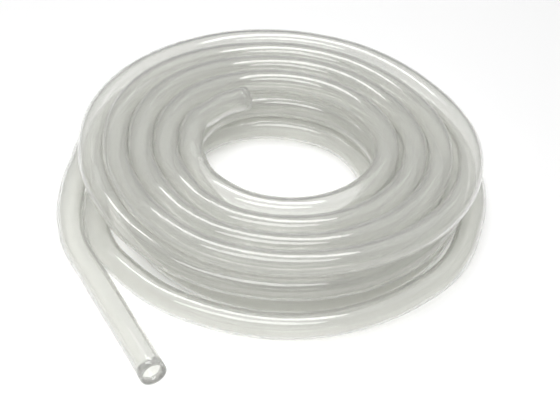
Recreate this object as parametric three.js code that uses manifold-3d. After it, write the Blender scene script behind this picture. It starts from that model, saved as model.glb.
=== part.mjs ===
// Clear PVC tubing: one 25 ft length, wound by hand into a flat coil of three layers.
// The coil lies on its side with its cut end left free and straight beside it.
// Units are millimetres and +Z is up. The origin is the middle of the footprint, on the floor.

import * as THREE from 'three';
import { mergeVertices } from 'three/addons/utils/BufferGeometryUtils.js';
import Module from 'manifold-3d';

// Tubing: 5/8 in outside, 1/2 in bore
const TUBE_DIAMETER = 15.875;
const TUBE_WALL = 1.5875;

// Coil: an open eye, and three layers of turns, the middle one half a step out to nest
const EYE_RADIUS = 54;
const TURN_PITCH = 16.5;
const LAYERS = [
  { turns: 5, halfSteps: 0 },
  { turns: 4, halfSteps: 1 },
  { turns: 4, halfSteps: 0 },
];

// Free end: [outward, along] from the place where the outermost turn runs along Y.
// The end springs out of the coil, then runs straight to its square cut.
const FREE_END_ROUTE = [
  [-30.5, 79.0],
  [-17.1, 60.8],
  [-10.1, 51.6],
  [-3.5, 41.3],
  [1.5, 31.8],
  [7.5, 17.5],
  [11.5, 1.9],
  [15.0, -15.9],
  [16.2, -36.5],
  [16.4, -54.0],
  [16.4, -84.1],
  [16.4, -128.0],
];
const FREE_END_BORE_DEPTH = 86;

// Smoothness
const TUBE_SIDES = 12;
const COIL_STEPS = 48;
const FREE_END_STEPS = 12;

// Sizes that follow from those above
const tubeRadius = TUBE_DIAMETER / 2;
const boreRadius = tubeRadius - TUBE_WALL;
const halfPitch = TURN_PITCH / 2;
const layerRise = Math.sqrt(TUBE_DIAMETER ** 2 - halfPitch ** 2);
const layers = LAYERS.map(layerOfTurns);
const outerTurnRadius = layers[0].at(-1).radius;
const coilRadius = outerTurnRadius + tubeRadius;
const freeEndPoints = FREE_END_ROUTE.map(freeEndPoint);
const cutEnd = freeEndPoints.at(-1);
const footprintLeft = Math.max(coilRadius, tubeRadius - cutEnd.x);
const footprintFront = Math.max(coilRadius, -cutEnd.y);
const coilCentre = new THREE.Vector3((footprintLeft - coilRadius) / 2, (footprintFront - coilRadius) / 2, 0);

// Centres of one layer's turns, from the eye outwards
function layerOfTurns({ turns, halfSteps }, level) {
  const firstRadius = EYE_RADIUS + tubeRadius + halfSteps * halfPitch;
  const height = tubeRadius + level * layerRise;
  return Array.from({ length: turns }, (_, i) => ({ radius: firstRadius + i * TURN_PITCH, height }));
}

// A point of the free end's centreline, lying on the floor
function freeEndPoint([outward, along]) {
  return new THREE.Vector3(-outerTurnRadius - outward, along, tubeRadius);
}

// Corners of a many-sided round whose flat sides touch the true circle
function roundCorners(radius, first = 0, last = TUBE_SIDES - 1) {
  const step = (2 * Math.PI) / TUBE_SIDES;
  const cornerRadius = radius / Math.cos(step / 2);
  const corners = [];
  for (let corner = first; corner <= last; corner += 1) {
    const angle = (corner + 0.5) * step;
    corners.push(new THREE.Vector2(cornerRadius * Math.cos(angle), cornerRadius * Math.sin(angle)));
  }
  return corners;
}

// The part of a turn's round that shows between its neighbours
function shownArc(turn, first, last) {
  const centre = new THREE.Vector2(turn.radius, turn.height);
  return roundCorners(tubeRadius, first, last).map((corner) => corner.add(centre));
}

// Outline of the wound section: under the coil, up its outside, over the top, down the eye.
// Neighbours in a layer meet at corners 11 and 6, and the layers on sloping sides.
function coilOutline([bottom, middle, top]) {
  const outline = [
    ...bottom.slice(0, -1).flatMap((turn) => shownArc(turn, 6, 10)),
    ...shownArc(bottom.at(-1), 6, 14),
    ...shownArc(middle.at(-1), 10, 14),
    ...shownArc(top.at(-1), 10, 16),
    ...top.slice(1, -1).reverse().flatMap((turn) => shownArc(turn, 0, 4)),
    ...shownArc(top[0], 0, 8),
    ...shownArc(middle[0], 4, 6),
    ...shownArc(bottom[0], 2, 5),
  ];
  return [...outline, outline[0].clone()];
}

// The wound turns, as one ring turned round the eye
function makeWoundTurns() {
  const ring = new THREE.LatheGeometry(coilOutline(layers), COIL_STEPS);
  return ring.rotateX(Math.PI / 2);
}

// The outermost turn's end, springing out and running straight
function makeFreeEnd() {
  const section = new THREE.Shape(roundCorners(tubeRadius));
  const route = new THREE.CatmullRomCurve3(freeEndPoints, false, 'centripetal');
  return new THREE.ExtrudeGeometry(section, { steps: FREE_END_STEPS, extrudePath: route });
}

// The bore that opens at the square cut
function makeFreeEndBore() {
  const clearance = 1;
  const section = new THREE.Shape(roundCorners(boreRadius));
  const bore = new THREE.ExtrudeGeometry(section, {
    depth: FREE_END_BORE_DEPTH + clearance,
    bevelEnabled: false,
  });
  bore.rotateX(-Math.PI / 2);
  return bore.translate(cutEnd.x, cutEnd.y - clearance, cutEnd.z);
}

// Joining and cutting
const wasm = await Module();
wasm.setup();

function toSolid(geometry) {
  geometry.deleteAttribute('normal');
  geometry.deleteAttribute('uv');
  const merged = mergeVertices(geometry);
  return new wasm.Manifold(new wasm.Mesh({
    numProp: 3,
    vertProperties: Float32Array.from(merged.attributes.position.array),
    triVerts: Uint32Array.from(merged.index.array),
  }));
}

function toGeometry(solid) {
  const { vertProperties, triVerts } = solid.getMesh();
  const geometry = new THREE.BufferGeometry();
  geometry.setAttribute('position', new THREE.BufferAttribute(vertProperties, 3));
  geometry.setIndex(new THREE.BufferAttribute(triVerts, 1));
  geometry.computeVertexNormals();
  return geometry;
}

// Tubing: wound turns and free end in one piece
const tubingSolid = toSolid(makeWoundTurns())
  .add(toSolid(makeFreeEnd()))
  .subtract(toSolid(makeFreeEndBore()));

const clearPvc = new THREE.MeshStandardMaterial({
  color: 0xd6d8d0,
  roughness: 0.15,
  metalness: 0,
  transparent: true,
  opacity: 0.5,
});

const tubing = new THREE.Mesh(toGeometry(tubingSolid), clearPvc);
tubing.name = 'tubing';
tubing.position.copy(coilCentre);

const coil = new THREE.Group();
coil.add(tubing);

export default coil;
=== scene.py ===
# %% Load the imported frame
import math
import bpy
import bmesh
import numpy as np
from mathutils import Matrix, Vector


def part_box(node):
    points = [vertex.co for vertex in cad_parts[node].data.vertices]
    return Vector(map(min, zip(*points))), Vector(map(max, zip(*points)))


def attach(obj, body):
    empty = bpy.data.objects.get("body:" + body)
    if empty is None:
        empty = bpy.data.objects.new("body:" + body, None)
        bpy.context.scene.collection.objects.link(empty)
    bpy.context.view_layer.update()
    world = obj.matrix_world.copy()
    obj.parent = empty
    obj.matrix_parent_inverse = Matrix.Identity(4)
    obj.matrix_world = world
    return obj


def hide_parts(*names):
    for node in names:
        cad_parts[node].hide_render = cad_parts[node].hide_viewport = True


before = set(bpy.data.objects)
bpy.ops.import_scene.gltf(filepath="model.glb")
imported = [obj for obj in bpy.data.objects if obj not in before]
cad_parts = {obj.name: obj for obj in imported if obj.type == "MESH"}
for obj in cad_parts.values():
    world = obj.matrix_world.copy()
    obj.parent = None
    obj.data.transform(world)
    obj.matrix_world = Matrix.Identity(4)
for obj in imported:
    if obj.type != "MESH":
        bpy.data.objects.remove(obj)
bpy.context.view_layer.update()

# %% [markdown]
# # A coil of clear tubing
# The part is one length of flexible clear PVC tube, 5/8 in outside, wound by hand into three
# layers. It lies on a floor with one cut end pointing forward and the other in the eye of the coil.
# The CAD holds the coil as one plain ring with its free end. Here the real tube is laid turn by turn.
# Every length below is in metres, in the frame of the CAD.

tubing_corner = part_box("tubing")[1]
TUBE_DIAMETER = 0.015875
TUBE_WALL = 0.0015875
COIL_RADIUS = 0.135875
coil_centre = Vector((tubing_corner[0] - COIL_RADIUS, 0, 0))
print("coil centre", tuple(round(v, 5) for v in coil_centre))

# %% [markdown]
# ## The camera
# The coil is seen from above and in front, at about forty degrees, through a long lens. The camera
# could be placed by its height and angles, but a place and an aim, both measured from the coil's
# centre, are easier to read. The last step rolls it by a few degrees, as the coil lies tilted in
# its picture.

# %% Place the camera
CAMERA_PLACE = Vector((-0.3885, -0.6517, 0.6045))
CAMERA_AIM = Vector((-0.0231, -0.0436, 0.0217))
CAMERA_LENS = 96.43
CAMERA_FILM_WIDTH = 36
CAMERA_ROLL = math.radians(5.54)

scene = bpy.context.scene
camera = bpy.data.objects.new("camera", bpy.data.cameras.new("camera"))
scene.collection.objects.link(camera)
camera.data.lens = CAMERA_LENS
camera.data.sensor_width = CAMERA_FILM_WIDTH
view = (CAMERA_AIM - CAMERA_PLACE).to_track_quat("-Z", "Y").to_matrix()
turned = view @ Matrix.Rotation(CAMERA_ROLL, 3, "Z")
camera.matrix_world = Matrix.Translation(coil_centre + CAMERA_PLACE) @ turned.to_4x4()
scene.camera = camera
print("camera", round((CAMERA_AIM - CAMERA_PLACE).length, 3), "m from its aim")

# %% [markdown]
# ## The turns of the coil
# The tube starts in the eye, on top. It winds outward over the top layer, back inward under it, and
# outward again on the floor, and leaves the coil as the free end. A spiral with an even step would
# look like a machine's work. A hand-wound coil has its own radius wherever a turn crosses the near
# side, the right, the far side and the left. So each turn has one row of radii and a height, in tube
# diameters, and a loop runs the tube through them. Angles are in degrees past the near side.

# %% Radii of the turns, in tube diameters from the coil's centre
TOP, MIDDLE, FLOOR = 2.3, 1.4, 0.5
NEAR = 239.2
WHOLE_TURN = 360
SIDES_OF_A_TURN = (0, 90, 135, 180, 270)
TURNS = [
    (TOP, (4.30, 4.18, 4.10, 4.12, 4.55)),
    (TOP, (5.42, 5.28, 5.12, 5.22, 5.60)),
    (TOP, (6.40, 6.30, 6.12, 6.20, 6.62)),
    (TOP, (7.40, 7.50, 7.08, 7.25, 7.45)),
    (MIDDLE, (7.60, 7.10, 6.85, 6.75, 6.65)),
    (MIDDLE, (6.58, 6.10, 5.84, 5.72, 5.65)),
    (MIDDLE, (5.56, 5.10, 4.86, 4.74, 4.66)),
    (MIDDLE, (4.56, 4.15, 3.90, 3.80, 3.85)),
    (FLOOR, (4.10, 3.75, 3.60, 3.45, 3.90)),
    (FLOOR, (5.20, 4.85, 4.72, 4.60, 4.92)),
    (FLOOR, (6.25, 5.92, 5.84, 5.75, 5.93)),
    (FLOOR, (7.35, 6.93, 6.90, 6.90, 6.94)),
]
START_END = [
    (-163, 3.26, 2.10), (-149, 3.26, 2.10), (-120, 3.35, 2.18), (-90, 3.72, 2.25), (-65, 4.02, 2.28),
]
LAST_TURN = [
    (-45, 8.35), (-22, 8.60), (0, 8.65), (50, 8.25), (80, 7.93), (120, 7.93), (180, 7.98), (248, 7.95),
]

keys = [(NEAR + after, radius, height) for after, radius, height in START_END]
for turn, (height, radii) in enumerate(TURNS):
    for after, radius in zip(SIDES_OF_A_TURN, radii):
        keys.append((NEAR + WHOLE_TURN * turn + after, radius, height))
last_near = NEAR + WHOLE_TURN * len(TURNS)
keys += [(last_near + after, radius, FLOOR) for after, radius in LAST_TURN]
keys = np.array(keys)
print("turns", round((keys[-1, 0] - keys[1, 0]) / WHOLE_TURN, 2))

# %% Run the turns through their radii, a few degrees at a time
TURN_STEP = 3.75


def between_keys(angles, values):
    """A value at each angle that eases from one key to the next."""
    last = np.clip(np.searchsorted(keys[:, 0], angles, side="right") - 1, 0, len(keys) - 2)
    share = (angles - keys[last, 0]) / (keys[last + 1, 0] - keys[last, 0])
    eased = (1 - np.cos(np.pi * np.clip(share, 0, 1))) / 2
    return values[last] + (values[last + 1] - values[last]) * eased


angles = np.arange(keys[1, 0], keys[-1, 0], TURN_STEP)
radii = between_keys(angles, keys[:, 1])
heights = between_keys(angles, keys[:, 2])
bearings = np.radians(angles)
turns = np.stack([radii * np.cos(bearings), radii * np.sin(bearings), heights], axis=-1)

# %% [markdown]
# ## The free end
# The last stretch isn't coiled: it leaves the outermost turn and runs straight forward along the
# floor. Its points are listed as the CAD has them: how far out each lies from the place
# where the outermost turn runs forward, and how far along.

# %% Points of the free end, in metres
OUTER_TURN_RADIUS = 0.1279375
FREE_END_ROUTE = [
    (-0.0305, 0.0790), (-0.0171, 0.0608), (-0.0101, 0.0516), (-0.0035, 0.0413),
    (0.0015, 0.0318), (0.0075, 0.0175), (0.0115, 0.0019), (0.0150, -0.0159),
    (0.0162, -0.0365), (0.0164, -0.0540), (0.0164, -0.0841), (0.0164, -0.1280),
]

free_end = np.array([(-(OUTER_TURN_RADIUS + out), along, 0.0) for out, along in FREE_END_ROUTE])
free_end = free_end / TUBE_DIAMETER
free_end[:, 2] = FLOOR
print("free end points", len(free_end))

# %% [markdown]
# ## Letting the coil settle
# Turns that cross from one layer to the next would run through each other. A real tube is pushed
# aside and up by what it lies on, so the route is settled the same way: wherever two stretches are
# closer than one diameter they push each other apart, everything sinks a little, and the floor
# holds it. Each push is spread along the tube, because a tube doesn't kink. A physics simulation
# would do it too, but this needs only a few hundred sums over the points and gives the same coil
# each run.

# %% Space the points evenly, in tube diameters
POINT_SPACING = 0.36
DENSE_STEPS = 40


def spaced(points, spacing):
    """Points at an even spacing on a smooth curve through the given ones."""
    first, last = 2 * points[0] - points[1], 2 * points[-1] - points[-2]
    ends = np.vstack([first, points, last])
    share = np.linspace(0, 1, DENSE_STEPS, endpoint=False)[:, None]
    pieces = []
    for a, b, c, d in zip(ends, ends[1:], ends[2:], ends[3:]):
        bend = (2 * a - 5 * b + 4 * c - d) * share ** 2 + (3 * b - 3 * c + d - a) * share ** 3
        pieces.append(0.5 * (2 * b + (c - a) * share + bend))
    dense = np.vstack(pieces + [points[-1:]])
    run = np.concatenate([[0], np.cumsum(np.linalg.norm(np.diff(dense, axis=0), axis=1))])
    stops = np.linspace(0, run[-1], int(round(run[-1] / spacing)) + 1)
    return np.stack([np.interp(stops, run, dense[:, axis]) for axis in range(3)], axis=-1)


laid = spaced(np.vstack([turns, free_end]), POINT_SPACING)
print("points", len(laid))

# %% Settle the tube on itself and on the floor
SETTLE_STEPS = 500
SINK = 0.003
PULL_TO_ROUTE = 0.03
PULL_TO_LAYER = 0.01
PUSH = 1.2
OWN_STRETCH = 12
PAIR_REACH = 1.7
PAIR_STEPS = 25
SPREAD = 0.25
SPREAD_TIMES = 2
SPREAD_UNTIL = 0.9 * SETTLE_STEPS


def near_pairs(points):
    """Points and stretches of the tube that lie close, apart from a point's own stretch."""
    gaps = ((points[:, None] - points[None]) ** 2).sum(axis=-1)
    one, other = np.nonzero(gaps < PAIR_REACH ** 2)
    apart = (np.abs(one - other) > OWN_STRETCH) & (other < len(points) - 1)
    return one[apart], other[apart]


def push_apart(points, one, other):
    """How far each point is pushed by what it overlaps, and the deepest overlap."""
    run = points[other + 1] - points[other]
    share = ((points[one] - points[other]) * run).sum(axis=1) / (run ** 2).sum(axis=1)
    share = np.clip(share, 0, 1)[:, None]
    away = points[one] - points[other] - run * share
    distance = np.linalg.norm(away, axis=1)
    hit = distance < 1
    push = away[hit] / distance[hit, None] * (1 - distance[hit])[:, None] / 2
    moves, count = np.zeros_like(points), np.zeros(len(points))
    np.add.at(moves, one[hit], push)
    np.add.at(moves, other[hit], -push * (1 - share[hit]))
    np.add.at(moves, other[hit] + 1, -push * share[hit])
    np.add.at(count, one[hit], 1)
    np.add.at(count, other[hit], 1)
    return moves / np.maximum(count, 1)[:, None], (1 - distance[hit]).max()


route = laid.copy()
for step in range(SETTLE_STEPS):
    if step % PAIR_STEPS == 0:
        pairs = near_pairs(route)
    moves, overlap = push_apart(route, *pairs)
    route += PUSH * moves
    route[:, 2] -= SINK * (1 - step / SETTLE_STEPS)
    shift = route - laid
    shift[:, :2] *= 1 - PULL_TO_ROUTE
    shift[:, 2] *= 1 - PULL_TO_LAYER
    if step < SPREAD_UNTIL:
        for _ in range(SPREAD_TIMES):
            shift[1:-1] += SPREAD * (shift[:-2] + shift[2:] - 2 * shift[1:-1])
    route = laid + shift
    route[:, 2] = np.maximum(route[:, 2], FLOOR)
print("deepest overlap left", round(overlap, 3), "diameters")

# %% Put the settled route in its place, in metres
ROUTE_SPACING = 0.40

route = spaced(route, ROUTE_SPACING) * TUBE_DIAMETER + np.array(coil_centre)
tube_length = float(np.linalg.norm(np.diff(route, axis=0), axis=1).sum())
coil_top = route[:, 2].max() + TUBE_DIAMETER / 2
print("tube length", round(tube_length, 3), "m, top of the coil", round(coil_top, 4), "m")

# %% [markdown]
# ## The tube itself
# The tube is extruded through a ring-shaped die, so it is the same ring all along: an outer wall, a
# bore and a square cut at each end. Geometry Nodes sweep two circles along the route, one for each
# face of the wall, and close the ends with flat rings. Both circles also store where they are on the
# section and how far along, so that the extrusion lines of the finish can follow the tube.

# %% A small helper for node trees
def add_node(tree, kind, values=None, **settings):
    """A node of the kind, with its settings and the values of its inputs."""
    node = tree.nodes.new(kind)
    for name, value in settings.items():
        setattr(node, name, value)
    for name, value in (values or {}).items():
        node.inputs[name].default_value = value
    return node


# %% The Geometry Nodes tree that sweeps the tube
SIDES = 32

sweep = bpy.data.node_groups.new("swept_tube", "GeometryNodeTree")
sweep.interface.new_socket("Route", in_out="INPUT", socket_type="NodeSocketGeometry")
size_sockets = {}
for name, kind, value in (
    ("Outer radius", "NodeSocketFloat", TUBE_DIAMETER / 2),
    ("Wall", "NodeSocketFloat", TUBE_WALL),
    ("Sides", "NodeSocketInt", SIDES),
):
    socket = sweep.interface.new_socket(name, in_out="INPUT", socket_type=kind)
    socket.default_value = value
    size_sockets[name] = socket.identifier
sweep.interface.new_socket("Tube", in_out="OUTPUT", socket_type="NodeSocketGeometry")

link = sweep.links.new
given = add_node(sweep, "NodeGroupInput")
as_curve = add_node(sweep, "GeometryNodeMeshToCurve")
upright = add_node(sweep, "GeometryNodeSetCurveNormal", mode="Z_UP")
along = add_node(sweep, "GeometryNodeSplineParameter")
keep_along = add_node(sweep, "GeometryNodeCaptureAttribute")
keep_along.capture_items.new("FLOAT", "Along")
link(given.outputs["Route"], as_curve.inputs["Mesh"])
link(as_curve.outputs["Curve"], upright.inputs["Curve"])
link(upright.outputs["Curve"], keep_along.inputs["Geometry"])
link(along.outputs["Length"], keep_along.inputs["Along"])

bore_radius = add_node(sweep, "ShaderNodeMath", operation="SUBTRACT")
link(given.outputs["Outer radius"], bore_radius.inputs[0])
link(given.outputs["Wall"], bore_radius.inputs[1])


def swept_face(radius):
    """One face of the wall: a circle of the radius swept along the route."""
    circle = add_node(sweep, "GeometryNodeCurvePrimitiveCircle")
    place = add_node(sweep, "GeometryNodeInputPosition")
    keep_place = add_node(sweep, "GeometryNodeCaptureAttribute")
    keep_place.capture_items.new("VECTOR", "Around")
    face = add_node(sweep, "GeometryNodeCurveToMesh")
    smooth = add_node(sweep, "GeometryNodeSetShadeSmooth")
    split = add_node(sweep, "ShaderNodeSeparateXYZ")
    lay = add_node(sweep, "ShaderNodeCombineXYZ")
    store = add_node(
        sweep, "GeometryNodeStoreNamedAttribute", {"Name": "lay"}, data_type="FLOAT_VECTOR"
    )
    link(given.outputs["Sides"], circle.inputs["Resolution"])
    link(radius, circle.inputs["Radius"])
    link(circle.outputs["Curve"], keep_place.inputs["Geometry"])
    link(place.outputs[0], keep_place.inputs["Around"])
    link(keep_along.outputs["Geometry"], face.inputs["Curve"])
    link(keep_place.outputs["Geometry"], face.inputs["Profile Curve"])
    link(face.outputs["Mesh"], smooth.inputs["Geometry"])
    link(keep_place.outputs["Around"], split.inputs[0])
    link(split.outputs["X"], lay.inputs["X"])
    link(split.outputs["Y"], lay.inputs["Y"])
    link(keep_along.outputs["Along"], lay.inputs["Z"])
    link(smooth.outputs["Geometry"], store.inputs["Geometry"])
    link(lay.outputs[0], store.inputs["Value"])
    return store.outputs["Geometry"]


# %% The two cut faces of the tree
last_index = add_node(sweep, "ShaderNodeMath", {1: 1.0}, operation="SUBTRACT")
point_count = add_node(sweep, "GeometryNodeAttributeDomainSize", component="CURVE")
link(keep_along.outputs["Geometry"], point_count.inputs["Geometry"])
link(point_count.outputs["Point Count"], last_index.inputs[0])

half_wall = add_node(sweep, "ShaderNodeMath", {1: 0.5}, operation="MULTIPLY")
middle_radius = add_node(sweep, "ShaderNodeMath", operation="SUBTRACT")
rim = add_node(sweep, "GeometryNodeCurvePrimitiveCircle")
inward, outward = add_node(sweep, "ShaderNodeCombineXYZ"), add_node(sweep, "ShaderNodeCombineXYZ")
minus_half = add_node(sweep, "ShaderNodeMath", {1: -1.0}, operation="MULTIPLY")
wall_line = add_node(sweep, "GeometryNodeCurvePrimitiveLine")
cut_face = add_node(sweep, "GeometryNodeCurveToMesh")
link(given.outputs["Wall"], half_wall.inputs[0])
link(given.outputs["Outer radius"], middle_radius.inputs[0])
link(half_wall.outputs[0], middle_radius.inputs[1])
link(half_wall.outputs[0], minus_half.inputs[0])
link(half_wall.outputs[0], outward.inputs["X"])
link(minus_half.outputs[0], inward.inputs["X"])
link(inward.outputs[0], wall_line.inputs["Start"])
link(outward.outputs[0], wall_line.inputs["End"])
link(given.outputs["Sides"], rim.inputs["Resolution"])
link(middle_radius.outputs[0], rim.inputs["Radius"])
link(rim.outputs["Curve"], cut_face.inputs["Curve"])
link(wall_line.outputs["Curve"], cut_face.inputs["Profile Curve"])

stations = add_node(sweep, "GeometryNodeCurveToPoints", mode="EVALUATED")
index = add_node(sweep, "GeometryNodeInputIndex")
at_start = add_node(sweep, "FunctionNodeCompare", {3: 0}, data_type="INT", operation="EQUAL")
at_end = add_node(sweep, "FunctionNodeCompare", data_type="INT", operation="EQUAL")
at_ends = add_node(sweep, "FunctionNodeBooleanMath", operation="OR")
cuts = add_node(sweep, "GeometryNodeInstanceOnPoints")
link(keep_along.outputs["Geometry"], stations.inputs["Curve"])
link(index.outputs[0], at_start.inputs[2])
link(index.outputs[0], at_end.inputs[2])
link(last_index.outputs[0], at_end.inputs[3])
link(at_start.outputs[0], at_ends.inputs[0])
link(at_end.outputs[0], at_ends.inputs[1])
link(stations.outputs["Points"], cuts.inputs["Points"])
link(stations.outputs["Rotation"], cuts.inputs["Rotation"])
link(at_ends.outputs[0], cuts.inputs["Selection"])
link(cut_face.outputs["Mesh"], cuts.inputs["Instance"])

# %% Join the faces of the tree and weld the cut faces to the wall
WELD = 0.000004

material = bpy.data.materials.new("clear_pvc")
material.use_nodes = True

together = add_node(sweep, "GeometryNodeJoinGeometry")
realized = add_node(sweep, "GeometryNodeRealizeInstances")
welded = add_node(sweep, "GeometryNodeMergeByDistance", {"Distance": WELD})
finish = add_node(sweep, "GeometryNodeSetMaterial", {"Material": material})
made = add_node(sweep, "NodeGroupOutput")
link(swept_face(given.outputs["Outer radius"]), together.inputs["Geometry"])
link(swept_face(bore_radius.outputs[0]), together.inputs["Geometry"])
link(cuts.outputs["Instances"], together.inputs["Geometry"])
link(together.outputs["Geometry"], realized.inputs["Geometry"])
link(realized.outputs["Geometry"], welded.inputs["Geometry"])
link(welded.outputs["Geometry"], finish.inputs["Geometry"])
link(finish.outputs["Geometry"], made.inputs["Tube"])

# %% Sweep the tube along the route
route_mesh = bpy.data.meshes.new("tube_route")
route_mesh.from_pydata([tuple(p) for p in route], [(i, i + 1) for i in range(len(route) - 1)], [])
route_object = bpy.data.objects.new("tube_route", route_mesh)
scene.collection.objects.link(route_object)
modifier = route_object.modifiers.new("swept tube", "NODES")
modifier.node_group = sweep
modifier[size_sockets["Outer radius"]] = TUBE_DIAMETER / 2
modifier[size_sockets["Wall"]] = TUBE_WALL
modifier[size_sockets["Sides"]] = SIDES

evaluated = route_object.evaluated_get(bpy.context.evaluated_depsgraph_get())
tube_mesh = bpy.data.meshes.new_from_object(evaluated)
bpy.data.objects.remove(route_object)
bm = bmesh.new()
bm.from_mesh(tube_mesh)
bmesh.ops.recalc_face_normals(bm, faces=bm.faces)
open_edges = sum(1 for edge in bm.edges if len(edge.link_faces) != 2)
volume = bm.calc_volume(signed=True)
bm.to_mesh(tube_mesh)
bm.free()
tube = bpy.data.objects.new("clear_tube", tube_mesh)
scene.collection.objects.link(tube)
tube_mesh.calc_loop_triangles()
print("tube triangles", len(tube_mesh.loop_triangles), "open edges", open_edges)
print("volume of pvc", round(volume * 1e6, 1), "cm3")

# %% [markdown]
# ## The finish
# Clear PVC is a soft glass. Light goes through the wall, bends, and shows the white floor and the
# turns behind, with a faint green-grey cast. It is never perfectly clear: the die leaves fine lines
# along the tube, and plasticiser gives it a slight bloom in patches. One node group makes both from
# the place on the section and the distance along, so the lines run round every bend with the tube.

# %% A node group for die lines and bloom
def add_group_socket(tree, name, direction, kind, value=None):
    """A socket of a node group, with its value if it is an input."""
    socket = tree.interface.new_socket(name, in_out=direction, socket_type=kind)
    if value is not None:
        socket.default_value = value


SMOOTH_ROUGHNESS, BLOOM_ROUGHNESS = 0.01, 0.07

marks = bpy.data.node_groups.new("die_lines_and_bloom", "ShaderNodeTree")
add_group_socket(marks, "Lay", "INPUT", "NodeSocketVector")
add_group_socket(marks, "Line width", "INPUT", "NodeSocketFloat", 0.0009)
add_group_socket(marks, "Line length", "INPUT", "NodeSocketFloat", 0.16)
add_group_socket(marks, "Bloom size", "INPUT", "NodeSocketFloat", 0.022)
add_group_socket(marks, "Clear tint", "INPUT", "NodeSocketColor", (0.86, 0.863, 0.842, 1))
add_group_socket(marks, "Bloom tint", "INPUT", "NodeSocketColor", (0.83, 0.833, 0.81, 1))
add_group_socket(marks, "Tint", "OUTPUT", "NodeSocketColor")
add_group_socket(marks, "Roughness", "OUTPUT", "NodeSocketFloat")
add_group_socket(marks, "Height", "OUTPUT", "NodeSocketFloat")

join = marks.links.new
asked = add_node(marks, "NodeGroupInput")
stretch = add_node(marks, "ShaderNodeCombineXYZ")
for axis, size in (("X", "Line width"), ("Y", "Line width"), ("Z", "Line length")):
    join(asked.outputs[size], stretch.inputs[axis])
line_place = add_node(marks, "ShaderNodeVectorMath", operation="DIVIDE")
join(asked.outputs["Lay"], line_place.inputs[0])
join(stretch.outputs[0], line_place.inputs[1])
lines = add_node(marks, "ShaderNodeTexNoise", {"Scale": 1.0, "Detail": 2.0})
join(line_place.outputs[0], lines.inputs["Vector"])

bloom_place = add_node(marks, "ShaderNodeVectorMath", operation="DIVIDE")
join(asked.outputs["Lay"], bloom_place.inputs[0])
join(asked.outputs["Bloom size"], bloom_place.inputs[1])
bloom = add_node(marks, "ShaderNodeTexNoise", {"Scale": 1.0, "Detail": 3.0})
join(bloom_place.outputs[0], bloom.inputs["Vector"])

tint = add_node(marks, "ShaderNodeMix", data_type="RGBA")
join(bloom.outputs["Fac"], tint.inputs[0])
join(asked.outputs["Clear tint"], tint.inputs[6])
join(asked.outputs["Bloom tint"], tint.inputs[7])
both = add_node(marks, "ShaderNodeMath", operation="MULTIPLY")
join(lines.outputs["Fac"], both.inputs[0])
join(bloom.outputs["Fac"], both.inputs[1])
roughness = add_node(
    marks, "ShaderNodeMapRange",
    {"From Min": 0.1, "From Max": 0.45, "To Min": SMOOTH_ROUGHNESS, "To Max": BLOOM_ROUGHNESS},
)
join(both.outputs[0], roughness.inputs["Value"])
found = add_node(marks, "NodeGroupOutput")
join(tint.outputs[2], found.inputs["Tint"])
join(roughness.outputs[0], found.inputs["Roughness"])
join(lines.outputs["Fac"], found.inputs["Height"])
print("die lines and bloom", len(marks.nodes), "nodes")

# %% Clear PVC
CLARITY = 0.87
REFRACTION = 1.53
LINE_DEPTH = 0.00004
LINE_STRENGTH = 0.5

nodes, wire = material.node_tree.nodes, material.node_tree.links.new
shader = nodes["Principled BSDF"]
shader.inputs["Transmission Weight"].default_value = CLARITY
shader.inputs["IOR"].default_value = REFRACTION

lay_of_tube = add_node(material.node_tree, "ShaderNodeAttribute", attribute_name="lay")
tube_marks = add_node(material.node_tree, "ShaderNodeGroup", node_tree=marks)
relief = add_node(material.node_tree, "ShaderNodeBump", {"Strength": LINE_STRENGTH, "Distance": LINE_DEPTH})
wire(lay_of_tube.outputs["Vector"], tube_marks.inputs["Lay"])
wire(tube_marks.outputs["Tint"], shader.inputs["Base Color"])
wire(tube_marks.outputs["Roughness"], shader.inputs["Roughness"])
wire(tube_marks.outputs["Height"], relief.inputs["Height"])
wire(relief.outputs["Normal"], shader.inputs["Normal"])
print("clear pvc, clarity", CLARITY, "refraction", REFRACTION)

# %% [markdown]
# ## Light through the tube
# A plain glass shader keeps lamps from shining through, and the coil would stand on a black shadow.
# Real clear tube throws hardly any. So for shadow rays alone the wall is a pale see-through sheet.

# %% Let the lamps shine through the wall
SHADOW_TINT = (0.87, 0.87, 0.865, 1)

light_path = add_node(material.node_tree, "ShaderNodeLightPath")
pale = add_node(material.node_tree, "ShaderNodeBsdfTransparent", {"Color": SHADOW_TINT})
by_ray = add_node(material.node_tree, "ShaderNodeMixShader")
wire(light_path.outputs["Is Shadow Ray"], by_ray.inputs[0])
wire(shader.outputs[0], by_ray.inputs[1])
wire(pale.outputs[0], by_ray.inputs[2])
wire(by_ray.outputs[0], nodes["Material Output"].inputs["Surface"])
print("shadow tint", SHADOW_TINT[:3])

# %% [markdown]
# ## Floor and light
# Such a coil is usually shown on white, lit from above. A small lamp would do for a matt thing, but
# clear tube mostly shows what it mirrors: a long lamp draws one thin bright line along each turn. So
# one long softbox stands behind the coil and one in front, and a wide one evens out the floor.

# %% Floor
FLOOR_SIZE = 12.0
FLOOR_DROP = 0.0002
FLOOR_WHITE = (0.9, 0.9, 0.9, 1)
FLOOR_ROUGHNESS = 0.9

bm = bmesh.new()
bmesh.ops.create_grid(bm, x_segments=1, y_segments=1, size=FLOOR_SIZE / 2)
floor_mesh = bpy.data.meshes.new("floor")
bm.to_mesh(floor_mesh)
bm.free()
floor = bpy.data.objects.new("floor", floor_mesh)
scene.collection.objects.link(floor)
floor.location.z = -FLOOR_DROP
floor_material = bpy.data.materials.new("pale_floor")
floor_material.use_nodes = True
floor_shader = floor_material.node_tree.nodes["Principled BSDF"]
floor_shader.inputs["Base Color"].default_value = FLOOR_WHITE
floor_shader.inputs["Roughness"].default_value = FLOOR_ROUGHNESS
floor_mesh.materials.append(floor_material)
print("floor", FLOOR_SIZE, "m wide")

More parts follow.
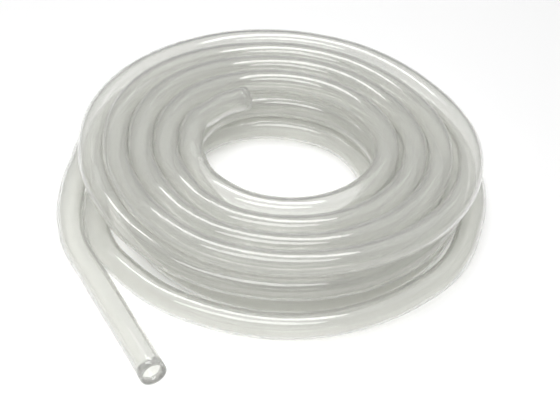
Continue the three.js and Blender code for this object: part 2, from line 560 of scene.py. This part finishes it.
# %% Softboxes and the light of the room
ROOM_WHITE = (1, 1, 1, 1)
ROOM_STRENGTH = 0.18
SOFTBOXES = [
    # name, shape, width and depth in m, watts, place from the coil's centre in m, turn in degrees
    ("wide softbox", "RECTANGLE", (3.0, 2.4), 12.5, (0.35, 0.35, 1.9), 0),
    ("narrow softbox", "ELLIPSE", (1.2, 0.4), 8, (0.07, 0.35, 1.2), -58),
    ("front softbox", "ELLIPSE", (1.3, 0.5), 7.5, (-0.4, -0.45, 1.1), -31),
]

world = bpy.data.worlds.new("studio")
world.use_nodes = True
room = world.node_tree.nodes["Background"]
room.inputs["Color"].default_value = ROOM_WHITE
room.inputs["Strength"].default_value = ROOM_STRENGTH
scene.world = world

for name, shape, size, watts, place, turn in SOFTBOXES:
    lamp = bpy.data.lights.new(name, "AREA")
    lamp.shape = shape
    lamp.size, lamp.size_y = size
    lamp.energy = watts
    softbox = bpy.data.objects.new(name, lamp)
    scene.collection.objects.link(softbox)
    softbox.location = coil_centre + Vector(place)
    softbox.rotation_euler.z = math.radians(turn)
print("softboxes", len(SOFTBOXES))

# %% [markdown]
# ## Enough bounces
# A ray that looks into the coil goes through a wall four times for each turn that it meets, and three
# layers of turns lie on each other. With the usual twelve bounces it would give up inside and leave
# black patches. So it may go on for longer, and white is shown as white.

# %% Let light go through every layer
WALLS_A_RAY_MAY_PASS = 48
WALLS_A_SHADOW_MAY_PASS = 64
MIRROR_BOUNCES = 16

scene.view_settings.view_transform = "Standard"
scene.cycles.max_bounces = WALLS_A_RAY_MAY_PASS
scene.cycles.transmission_bounces = WALLS_A_RAY_MAY_PASS
scene.cycles.transparent_max_bounces = WALLS_A_SHADOW_MAY_PASS
scene.cycles.glossy_bounces = MIRROR_BOUNCES
print("bounces", scene.cycles.max_bounces)

# %% [markdown]
# ## What the tube is
# The CAD's ring stands in for this one tube, so the tube replaces it and rides on the part's body. It
# is a cord: soft, of a fixed length of 25 ft, with bare ends, and it lies coiled.

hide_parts("tubing")
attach(tube, "root")
